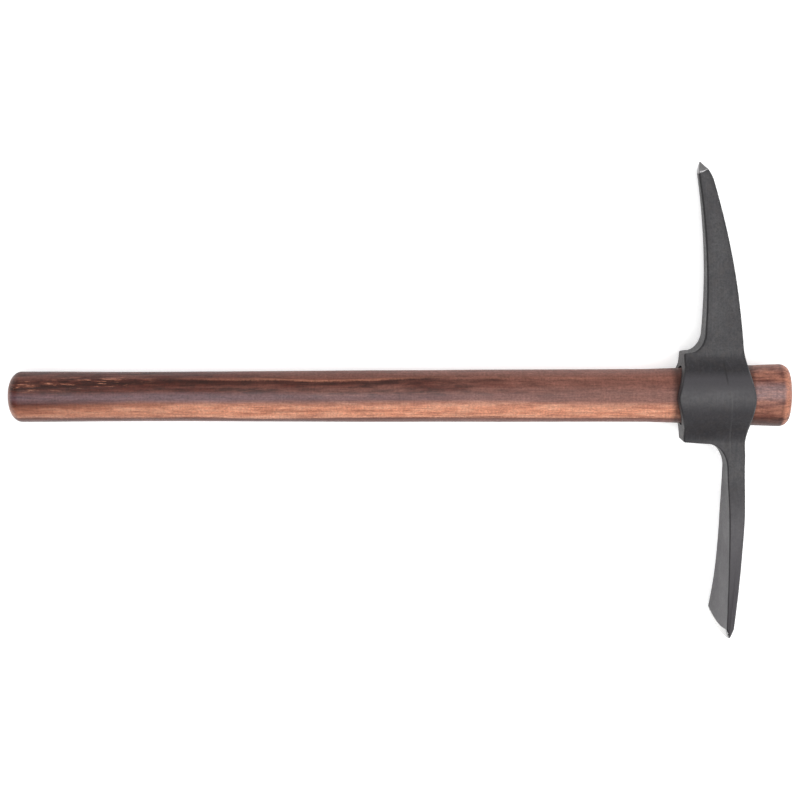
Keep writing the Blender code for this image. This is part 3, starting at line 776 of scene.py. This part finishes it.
class NodeSheet:
    """Short ways to place and join the shader nodes of a material or a world."""

    def __init__(self, owner, shader):
        owner.use_nodes = True
        self.owner = owner
        self.tree = owner.node_tree
        self.shader = self.tree.nodes[shader]

    def add(self, kind, values=None, **settings):
        """Adds a node: settings are its own, values go to its sockets or are joined to them."""
        made = self.tree.nodes.new(kind)
        for name, value in settings.items():
            setattr(made, name, value)
        self.fill(made, values or {})
        return made

    def fill(self, made, values):
        """Sets a node's sockets, or joins them where the value is another node's socket."""
        for socket, value in values.items():
            if isinstance(value, bpy.types.NodeSocket):
                self.tree.links.new(value, made.inputs[socket])
            else:
                made.inputs[socket].default_value = value

    def places(self, kind="Object"):
        """The point on the piece itself, and how far it lies along X, Y and Z."""
        point = self.add("ShaderNodeTexCoord").outputs[kind]
        return (point, *self.add("ShaderNodeSeparateXYZ", {"Vector": point}).outputs)

    def cloud(self, point, fineness, detail, rough):
        """Noise of one fineness, or of three, one along each axis."""
        if isinstance(fineness, tuple):
            values = {"Vector": point, "Scale": fineness}
            point, fineness = self.add("ShaderNodeMapping", values).outputs[0], 1.0
        return self.add("ShaderNodeTexNoise", {"Vector": point, "Scale": fineness,
                                               "Detail": detail, "Roughness": rough}).outputs[0]

    def work(self, kind, first, second=0.0, clamp=False):
        """One step of arithmetic."""
        return self.add("ShaderNodeMath", {0: first, 1: second},
                        operation=kind, use_clamp=clamp).outputs[0]

    def pile(self, *values):
        """All values added up."""
        return reduce(lambda first, second: self.work("ADD", first, second), values)

    def times(self, *values):
        """All values multiplied."""
        return reduce(lambda first, second: self.work("MULTIPLY", first, second), values)

    def apart(self, value, middle):
        """How far a value is from a middle."""
        return self.work("ABSOLUTE", self.work("SUBTRACT", value, middle))

    def span(self, value, low, high, start=0.0, end=1.0):
        """value from low to high becomes start to end, and stays there beyond."""
        return self.add("ShaderNodeMapRange", {"Value": value, "From Min": low, "From Max": high,
                                               "To Min": start, "To Max": end}).outputs[0]

    def stops(self, value, colours):
        """A ramp of (place, colour) pairs."""
        ramp = self.add("ShaderNodeValToRGB", {"Fac": value})
        band = ramp.color_ramp
        while len(band.elements) < len(colours):
            band.elements.new(0.5)
        for element, (place, tint) in zip(band.elements, colours):
            element.position = place
            element.color = (*tint, 1.0)
        return ramp.outputs["Color"]

    def mix(self, kind, amount, sockets, first, second, output):
        """first turned towards second by amount, on the sockets of one kind of value."""
        values = {"Factor": amount, sockets[0]: first, sockets[1]: second}
        return self.add("ShaderNodeMix", values, data_type=kind).outputs[output]

    def tint(self, amount, first, second):
        """The colour first turned towards the colour second by amount."""
        pair = [value if isinstance(value, bpy.types.NodeSocket) else (*value, 1.0)
                for value in (first, second)]
        return self.mix("RGBA", amount, (6, 7), *pair, 2)

    def coats(self, base, *layers):
        """A colour under layers of (cover, colour), each one over all before it."""
        for cover, paint in layers:
            base = self.tint(cover, base, paint)
        return base

    def mark(self, name):
        """A mark on the mesh's points."""
        return self.add("ShaderNodeAttribute", attribute_name=name).outputs["Fac"]

    def reliefs(self, *layers):
        """A surface with layers of (height, strength, depth) worked into it."""
        below = {}
        for height, strength, depth in layers:
            values = {"Height": height, "Strength": strength, "Distance": depth, **below}
            below = {"Normal": self.add("ShaderNodeBump", values).outputs["Normal"]}
        return below


def material_sheet(name):
    """The node sheet of a new material."""
    return NodeSheet(bpy.data.materials.new(name), "Principled BSDF")


def painted_steel(finish):
    """Satin charcoal paint over the forging, rubbed along the edges, bare where it is ground, with
    painted highlights, light and shade.
    """
    sheet = material_sheet("painted_steel")
    span, times, pile, cloud = sheet.span, sheet.times, sheet.pile, sheet.cloud
    point, along, across, height = sheet.places()
    broad = cloud(point, 60.0, 5.0, 0.6)
    mottle = cloud(point, 230.0, 4.0, 0.65)
    drawn = cloud(point, (800.0, 30.0, 800.0), 4.0, 0.6)
    pebble = cloud(point, 900.0, 3.0, 0.6)
    grit = cloud(point, 2600.0, 3.0, 0.6)
    scratches = cloud(point, (2600.0, 90.0, 2600.0), 5.0, 0.7)

    # Painted highlight on top of the boss, stronger on its side towards the pick
    lighter = times(span(height, 0.0135, 0.0165), span(across, -0.002, 0.012, 0.18, 0.95))
    trim = sheet.apart(pile(along, times(across, TRIM_SLANT)), TRIM_PLACE)
    trim = times(span(trim, 0.0007, 0.0001), span(across, 0.006, 0.001),
                 span(across, -0.042, -0.030), span(mottle, 0.30, 0.62))
    # The forging crease at the boss: a dent in the relief, and painted shade in its colour
    crease = sheet.apart(pile(along, times(across, CREASE_SLANT)), CREASE_PLACE)
    crease = times(span(crease, 0.0008, 0.0001), span(across, 0.007, 0.011),
                   span(across, 0.024, 0.019))
    paint = sheet.coats(
        sheet.tint(span(pebble, 0.22, 0.78), finish.paint_dark, finish.paint_light),
        (span(broad, 0.35, 0.70, 0.0, 0.5), finish.paint_light),
        (span(mottle, 0.50, 0.75, 0.0, 0.5), finish.paint_warm),
        (span(mottle, 0.50, 0.28, 0.0, 0.5), finish.paint_cool),
        (span(drawn, 0.50, 0.72, 0.0, 0.5), finish.paint_drawn),
        # painted light over the adze's blade
        (span(across, -0.045, -0.080, 0.0, 0.7), finish.paint_blade_light),
        # painted highlight on top of the boss
        (lighter, finish.paint_boss_highlight),
        (span(grit, 0.60, 0.80, 0.0, 0.25), finish.paint_worn_and_highlight),
        (times(trim, TRIM_STRENGTH), finish.paint_worn_and_highlight),
        # painted shade in the crease
        (times(crease, CREASE_STRENGTH), finish.paint_crease_shade),
        # rubbed paint and painted highlight along the crown side's edges
        (times(sheet.mark("edge_weight"), span(mottle, 0.42, 0.72, 0.0, 0.55)), finish.paint_worn_and_highlight),
        (times(sheet.mark("shade"), SHADE_STRENGTH), finish.paint_shade))

    bare = span(pile(sheet.mark("bare"), span(pebble, 0.3, 0.7, -0.25, 0.25)), 0.45, 0.60)
    # Painted shade: the ground bevel darker towards the adze's upper corner
    corner = times(span(across, -0.10, -0.13), span(height, 0.004, 0.026, 0.0, 0.75))
    # Painted dark reflection: spots at the upper corner of the adze's cutting edge
    dark_reflection = times(span(across, -0.1392, -0.1374), span(height, 0.0225, 0.0255),
                  span(pebble, 0.32, 0.46))
    steel = sheet.coats(
        sheet.tint(span(scratches, 0.35, 0.70), finish.steel_scratch, finish.steel),
        (pile(corner, span(across, 0.0, 0.05, 0.0, 0.9)), finish.steel_dull_and_shade),
        (dark_reflection, finish.paint_dark))

    paint_gloss = pile(span(broad, 0.3, 0.7, 0.48, 0.60), span(pebble, 0.3, 0.7, 0.06, -0.06))
    steel_gloss = pile(span(scratches, 0.3, 0.7, 0.22, 0.36), span(across, 0.0, 0.05, 0.0, 0.20))
    sheet.fill(sheet.shader, {
        "Base Color": sheet.tint(bare, paint, steel),
        "Metallic": bare,
        "Roughness": sheet.mix("FLOAT", bare, ("A", "B"), paint_gloss, steel_gloss, 0),
        **sheet.reliefs((mottle, 0.35, 0.00020), (pebble, 0.28, 0.00010), (drawn, 0.55, 0.00010),
                        (sheet.work("SUBTRACT", trim, crease), 0.3, 0.00010),
                        (times(scratches, bare), 0.4, 0.00004))})
    return sheet.owner


def stained_wood(finish):
    """Stained wood: a dark heart, a pale lane where little stain was taken, grain and flecks, with
    painted sheen and a painted shadow of the head.
    """
    sheet = material_sheet("stained_wood")
    span, times, pile, apart, cloud = (sheet.span, sheet.times, sheet.pile, sheet.apart,
                                       sheet.cloud)
    point, along, across, height = sheet.places()
    wander = cloud(point, (9.0, 30.0, 30.0), 3.0, 0.5)
    patches = cloud(point, (24.0, 110.0, 110.0), 5.0, 0.6)
    rays = cloud(point, (18.0, 380.0, 380.0), 6.0, 0.62)
    flakes = cloud(point, (75.0, 420.0, 420.0), 4.0, 0.6)
    chips = cloud(point, (110.0, 900.0, 900.0), 4.0, 0.6)
    fibres = cloud(point, (90.0, 1500.0, 1500.0), 4.0, 0.6)
    speckle = cloud(point, (800.0, 1000.0, 1000.0), 3.0, 0.65)
    chatter = cloud(point, (950.0, 70.0, 70.0), 2.0, 0.5)

    # Heights over the pale lane's top (even, and wandering), over its bottom and over the seam
    depth = pile(across, times(height, GRAIN_SLANT), -LANE_TOP,
                 span(rays, 0.2, 0.8, -0.0009, 0.0009), span(speckle, 0.2, 0.8, -0.0002, 0.0002))
    lane = pile(depth, span(along, 0.00, 0.10, 0.0036, 0.0), span(along, 0.26, 0.34, 0.0, 0.0011),
                span(wander, 0.2, 0.8, -0.0014, 0.0014))
    brim = pile(depth, span(wander, 0.25, 0.75, -0.0010, 0.0010), LANE_HEIGHT)
    ridge = sheet.work("SUBTRACT", lane, span(along, 0.20, 0.35, 0.0103, 0.0118))
    beside = sheet.work("ABSOLUTE", ridge)

    age = sheet.work("ADD", span(along, 0.14, 0.36), span(patches, 0.35, 0.65, -0.4, 0.4),
                     clamp=True)
    soot = times(span(flakes, 0.54, 0.38, 0.0, 0.75), span(lane, -0.001, 0.004),
                 span(along, 0.22, 0.34, 1.0, 0.30))
    stain = times(span(lane, 0.003, 0.008), span(along, 0.30, 0.12, 0.0, 0.20))
    crown = span(along, 0.405, 0.43)
    pale = times(span(lane, 0.0, -0.0046), span(brim, -0.0006, 0.0006),
                 times(span(crown, 0.0, 1.0, 1.0, 0.18), span(along, 0.0, 0.14, 0.45, 1.0)))
    lane_bottom = times(span(sheet.work("ABSOLUTE", brim), 0.0009, 0.0002),
                        LANE_BOTTOM_STRENGTH)
    # Painted sheen: a greyish band just above the pale lane, stronger towards the grip
    painted_sheen = times(span(apart(depth, SHEEN_MIDDLE), 0.0036, 0.0010),
                 span(along, 0.34, 0.10, 0.0, 0.45))
    rust = times(span(ridge, 0.0002, 0.0010), span(along, 0.09, 0.16, 0.0, 0.6))
    seam = times(span(beside, 0.0007, 0.0001), span(wander, 0.42, 0.56),
                 span(along, 0.28, 0.36, 0.42, 0.08))
    groove = times(span(apart(ridge, GROOVE_PLACE), 0.0011, 0.0003),
                   span(along, 0.31, 0.22, 0.06, 0.55))
    # Painted sheen along the middle of the crown
    crown_sheen = times(crown, span(apart(across, CROWN_SHEEN_MIDDLE), 0.0062, 0.0026, 0.0, 0.50))
    under = times(span(depth, -0.0105, -0.0128), span(along, 0.38, 0.43, 0.1, 0.65))
    torn = times(span(along, 0.090, 0.060), span(beside, 0.0038, 0.0010),
                 span(along, 0.002, 0.008))
    # Painted shadow of the head on the wood at the eye's grip side, none on the crown past it
    head_shadow = times(span(along, 0.3812, 0.3842, 0.0, 0.65), span(along, 0.430, 0.427))
    worn = pile(span(along, 0.4450, 0.4464), span(along, 0.0034, 0.0018, 0.0, 0.6))
    worn = times(worn, span(chips, 0.36, 0.50), CROWN_WEAR_STRENGTH)
    # A thin darker line across the handle near its crown end
    turned = span(apart(along, CROWN_LINE_PLACE), 0.0012, 0.0003, 0.0, 0.22)
    wood = sheet.coats(
        sheet.tint(age, finish.wood_dark, finish.wood_brown),
        (soot, finish.wood_char),
        (stain, finish.wood_char),
        (span(rays, 0.52, 0.66, 0.0, 0.5), finish.wood_brown),
        (pale, finish.wood_orange),
        (times(pale, span(patches, 0.46, 0.64, 0.0, 0.35)), finish.wood_fleck),
        (times(pale, span(flakes, 0.48, 0.64, 0.0, 0.45)), finish.wood_fleck),
        (times(pale, span(flakes, 0.48, 0.34, 0.0, 0.45)), finish.wood_brown),
        (times(pale, span(rays, 0.47, 0.36, 0.0, 0.4)), finish.wood_dark),
        (lane_bottom, finish.wood_dark),
        (painted_sheen, finish.wood_sheen),
        (rust, finish.wood_brown),
        (seam, finish.wood_orange),
        (groove, finish.wood_char),
        (times(crown, span(flakes, 0.47, 0.62, 0.0, 0.34)), finish.wood_orange),
        (times(crown, span(flakes, 0.50, 0.40, 0.0, 0.50)), finish.wood_dark),
        (times(crown, span(lane, 0.002, -0.004, 0.0, 0.30)), finish.wood_dark),
        (crown_sheen, finish.wood_crown_sheen),
        (under, finish.wood_char),
        (times(torn, span(chips, 0.575, 0.63, 0.0, 0.6)), finish.wood_orange),
        (times(torn, span(chips, 0.48, 0.40, 0.0, 0.9)), finish.wood_char),
        (head_shadow, finish.wood_char),
        (worn, finish.wood_orange),
        (turned, finish.wood_char))

    level = times(span(speckle, 0.25, 0.75, 0.66, 1.34), span(fibres, 0.3, 0.7, 0.80, 1.20),
                  span(chatter, 0.3, 0.7, 0.93, 1.07))
    shaded = sheet.add("ShaderNodeHueSaturation", {"Color": wood, "Value": level})
    dull = times(span(lane, 0.003, 0.008), span(along, 0.34, 0.18))
    sheet.fill(sheet.shader, {
        "Base Color": shaded.outputs[0],
        "Roughness": pile(span(rays, 0.3, 0.7, 0.46, 0.36), span(speckle, 0.3, 0.7, 0.08, -0.08),
                          span(along, 0.10, 0.36, -0.08, 0.08), times(dull, DULLING)),
        "Specular IOR Level": WOOD_SPECULAR,
        **sheet.reliefs((rays, 0.30, 0.0003), (fibres, 0.35, 0.00010),
                        (times(chips, torn), 0.8, 0.0004), (speckle, 0.50, 0.00012))})
    return sheet.owner


# Steps

FLOOR_ROUGHNESS = 0.9
SURROUND_HEIGHTS = (0.03, 0.18, 0.80, 0.97)
WHITE = (1.0, 1.0, 1.0)


def settle(piece, body, node):
    """Puts a finished piece in its node's place."""
    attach(piece, body)
    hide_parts(node)


class MATTOCK_OT_wood_handle(bpy.types.Operator):
    """Makes the stained wooden handle"""
    bl_idname = "mattock.wood_handle"
    bl_label = "Wooden handle"

    def execute(self, context):
        scene = context.scene
        handle = put("wood_handle", handle_mesh(scene.mattock_handle))
        handle.data.materials.append(stained_wood(scene.mattock_finishes))
        settle(handle, "handle", "handle")
        return {"FINISHED"}


class MATTOCK_OT_forged_head(bpy.types.Operator):
    """Makes the forged head with pick, eye and adze"""
    bl_idname = "mattock.forged_head"
    bl_label = "Forged head"

    def execute(self, context):
        scene = context.scene
        uncut = head_mesh(scene.mattock_head)
        head = put("forged_head", uncut)
        cutter = hole_cutter(scene.mattock_head, scene.mattock_handle)
        hole = head.modifiers.new("eye_hole", "BOOLEAN")
        hole.operation = "DIFFERENCE"
        hole.solver = "EXACT"
        hole.object = cutter
        context.view_layer.update()
        graph = context.evaluated_depsgraph_get()
        cut = bpy.data.meshes.new_from_object(head.evaluated_get(graph))
        head.modifiers.clear()
        head.data = cut
        bpy.data.objects.remove(cutter)
        bpy.data.meshes.remove(uncut)
        cut.name = "forged_head"
        eye_x = scene.mattock_handle.total - scene.mattock_head.past_eye
        cut.transform(Matrix.Translation((eye_x, 0.0, 0.0)))
        for vertex in cut.vertices:
            for axis, (low, high) in enumerate(zip(*HEAD_BOX)):
                vertex.co[axis] = min(max(vertex.co[axis], low), high)
        cut.materials.clear()
        cut.materials.append(painted_steel(scene.mattock_finishes))
        settle(head, "head", "head")
        return {"FINISHED"}


def pale_floor(studio):
    """A sloping floor that steps down past the grip end, where the head slides off."""
    sheet = material_sheet("pale_floor")
    pale = (*studio.floor_colour, 1.0)
    sheet.fill(sheet.shader, {"Base Color": pale, "Roughness": FLOOR_ROUGHNESS,
                              "Emission Color": pale, "Emission Strength": studio.floor_glow})
    half = 0.5 * studio.floor_size
    levels = ((-half, -studio.floor_step), (studio.step_end - studio.floor_x, -studio.floor_step),
              (studio.step_start - studio.floor_x, 0.0), (half, 0.0))
    points = [(x, y, z) for x, z in levels for y in (-half, half)]
    faces = [(2 * row, 2 * row + 2, 2 * row + 3, 2 * row + 1) for row in range(len(levels) - 1)]
    data = bpy.data.meshes.new("floor")
    data.from_pydata(points, [], faces)
    data.materials.append(sheet.owner)
    floor = put("floor", data, (studio.floor_x, 0.0, studio.floor_z))
    floor.rotation_euler = (studio.floor_rise, studio.floor_fall, 0.0)
    return floor


def soft_light(studio):
    """A broad soft light that points straight down."""
    data = bpy.data.lights.new("overhead_softbox", "AREA")
    data.shape = "RECTANGLE"
    data.size = studio.light_length
    data.size_y = studio.light_width
    data.energy = studio.light_power
    light = put("overhead_softbox", data, (studio.light_x, studio.light_y, studio.light_z))
    light.visible_camera = False


def pale_surround(studio):
    """A bright band low down and a dim one over it, which the camera sees as plain white."""
    world = bpy.data.worlds.new("pale_surround")
    sheet = NodeSheet(world, "Background")
    *_, height = sheet.places("Generated")
    levels = (1.0, studio.dim_band, studio.dim_band, 1.0)
    bands = sheet.stops(height, [(place, 3 * (level,))
                                 for place, level in zip(SURROUND_HEIGHTS, levels)])
    seen = sheet.add("ShaderNodeLightPath").outputs["Is Camera Ray"]
    sheet.fill(sheet.shader, {"Color": sheet.tint(seen, bands, WHITE),
                              "Strength": studio.sky_strength})
    return world


def top_camera(studio):
    """The camera, almost straight above."""
    data = bpy.data.cameras.new("camera")
    data.lens = studio.lens
    camera = put("camera", data, (studio.camera_x, studio.camera_y, studio.camera_z))
    camera.rotation_mode = "ZYX"
    camera.rotation_euler = (-studio.tilt, 0.0, -studio.roll)
    return camera


class MATTOCK_OT_studio(bpy.types.Operator):
    """Makes the pale floor, the soft light and the camera"""
    bl_idname = "mattock.studio"
    bl_label = "Studio"

    def execute(self, context):
        scene = context.scene
        studio = scene.mattock_studio
        floor = pale_floor(studio)
        scene.world = pale_surround(studio)
        scene.view_settings.view_transform = "Standard"
        soft_light(studio)
        scene.camera = top_camera(studio)
        return {"FINISHED"}


class MATTOCK_PT_maker(bpy.types.Panel):
    """The mattock's sizes, finishes and steps"""
    bl_idname = "MATTOCK_PT_maker"
    bl_label = "Mattock"
    bl_space_type = "VIEW_3D"
    bl_region_type = "UI"
    bl_category = "Mattock"

    def draw(self, context):
        layout = self.layout
        for step in STEPS:
            layout.operator(step.bl_idname)
        for name in SETTINGS:
            settings = getattr(context.scene, name)
            box = layout.box()
            for entry in settings.bl_rna.properties:
                if entry.identifier not in ("rna_type", "name"):
                    box.prop(settings, entry.identifier)


STEPS = (MATTOCK_OT_wood_handle, MATTOCK_OT_forged_head, MATTOCK_OT_studio)
SETTINGS = {"mattock_handle": HandleSizes, "mattock_head": HeadSizes,
            "mattock_finishes": Finishes, "mattock_studio": StudioSizes}
CLASSES = (*SETTINGS.values(), *STEPS, MATTOCK_PT_maker)


def register():
    for item in CLASSES:
        bpy.utils.register_class(item)
    for name, kind in SETTINGS.items():
        setattr(bpy.types.Scene, name, PointerProperty(type=kind))


def unregister():
    for name in SETTINGS:
        delattr(bpy.types.Scene, name)
    for item in reversed(CLASSES):
        bpy.utils.unregister_class(item)


def main():
    register()
    bpy.ops.mattock.wood_handle()
    bpy.ops.mattock.forged_head()
    bpy.ops.mattock.studio()


if __name__ == "__main__":
    main()
